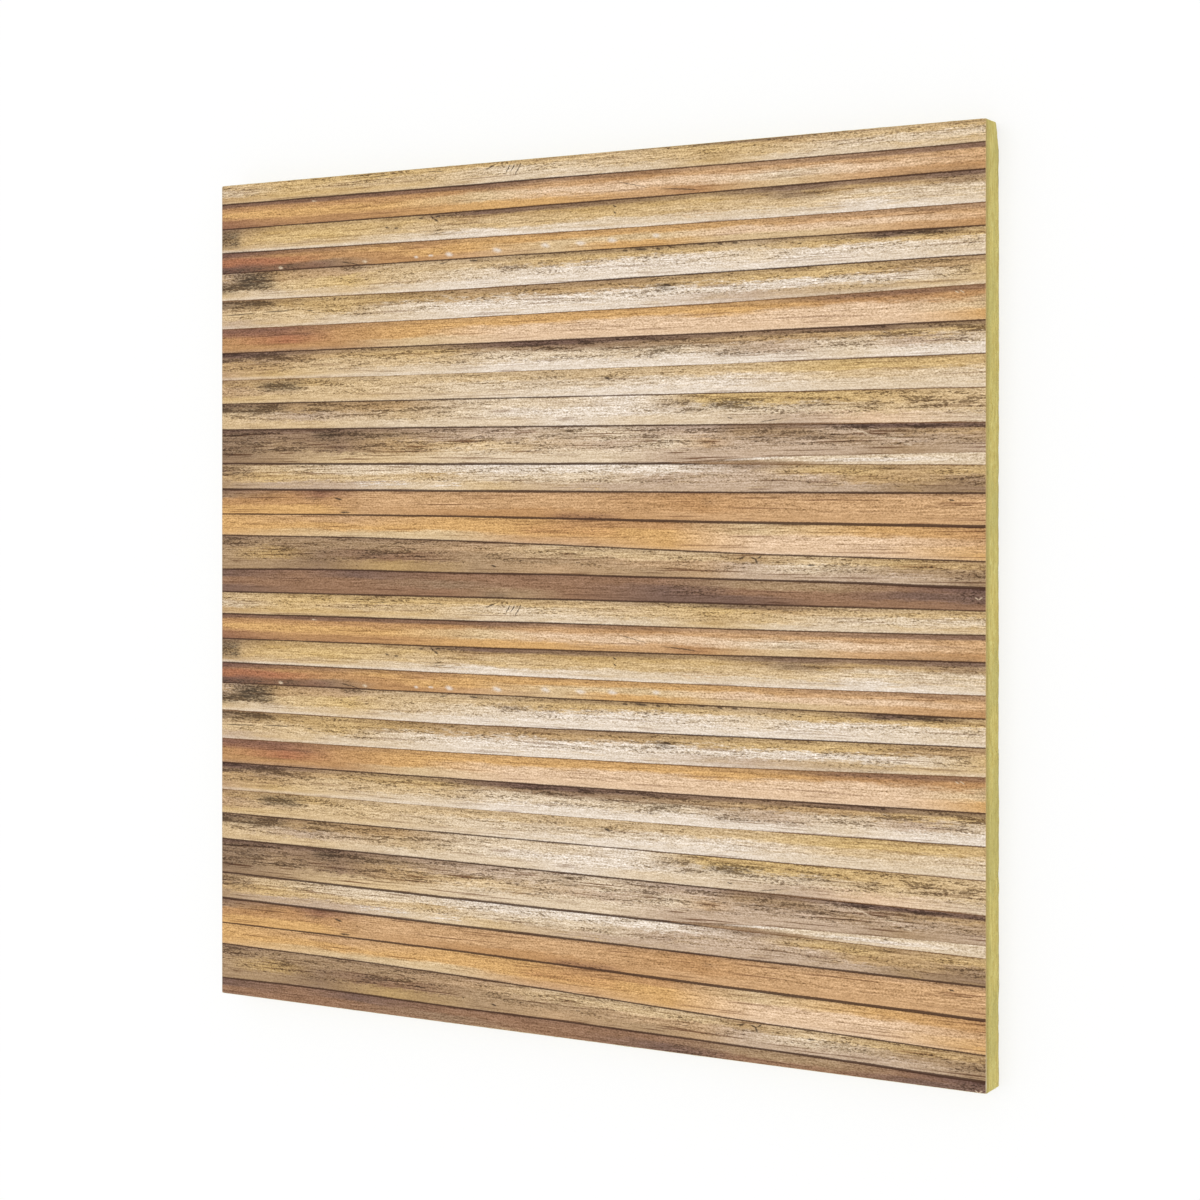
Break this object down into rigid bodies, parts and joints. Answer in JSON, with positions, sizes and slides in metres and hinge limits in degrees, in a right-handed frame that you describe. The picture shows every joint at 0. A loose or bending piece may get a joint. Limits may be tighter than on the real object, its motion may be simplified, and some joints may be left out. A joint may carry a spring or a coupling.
{
  "type": "ceiling tile",
  "caption": "Square lay-in ceiling tile: pressed mineral wool board with a reed-slat printed facing, laid face down on the flanges of a suspended grid.",
  "frame": {"origin": "centre of the back face, which lies on the floor", "axes": "+X along the printed slats, +Y across them to the picture's top, +Z out of the printed face"},
  "size_m": [0.595, 0.595, 0.022],
  "materials": {
    "wool": "bare saw-cut mineral wool, khaki yellow, matt and fibrous",
    "print": "matt printed fleece, weathered reed slats in straw, honey, rust and umber"
  },
  "bodies": {
    "root": {"wool_core": "wool", "printed_facing": "print"}
  },
  "joints": []
}
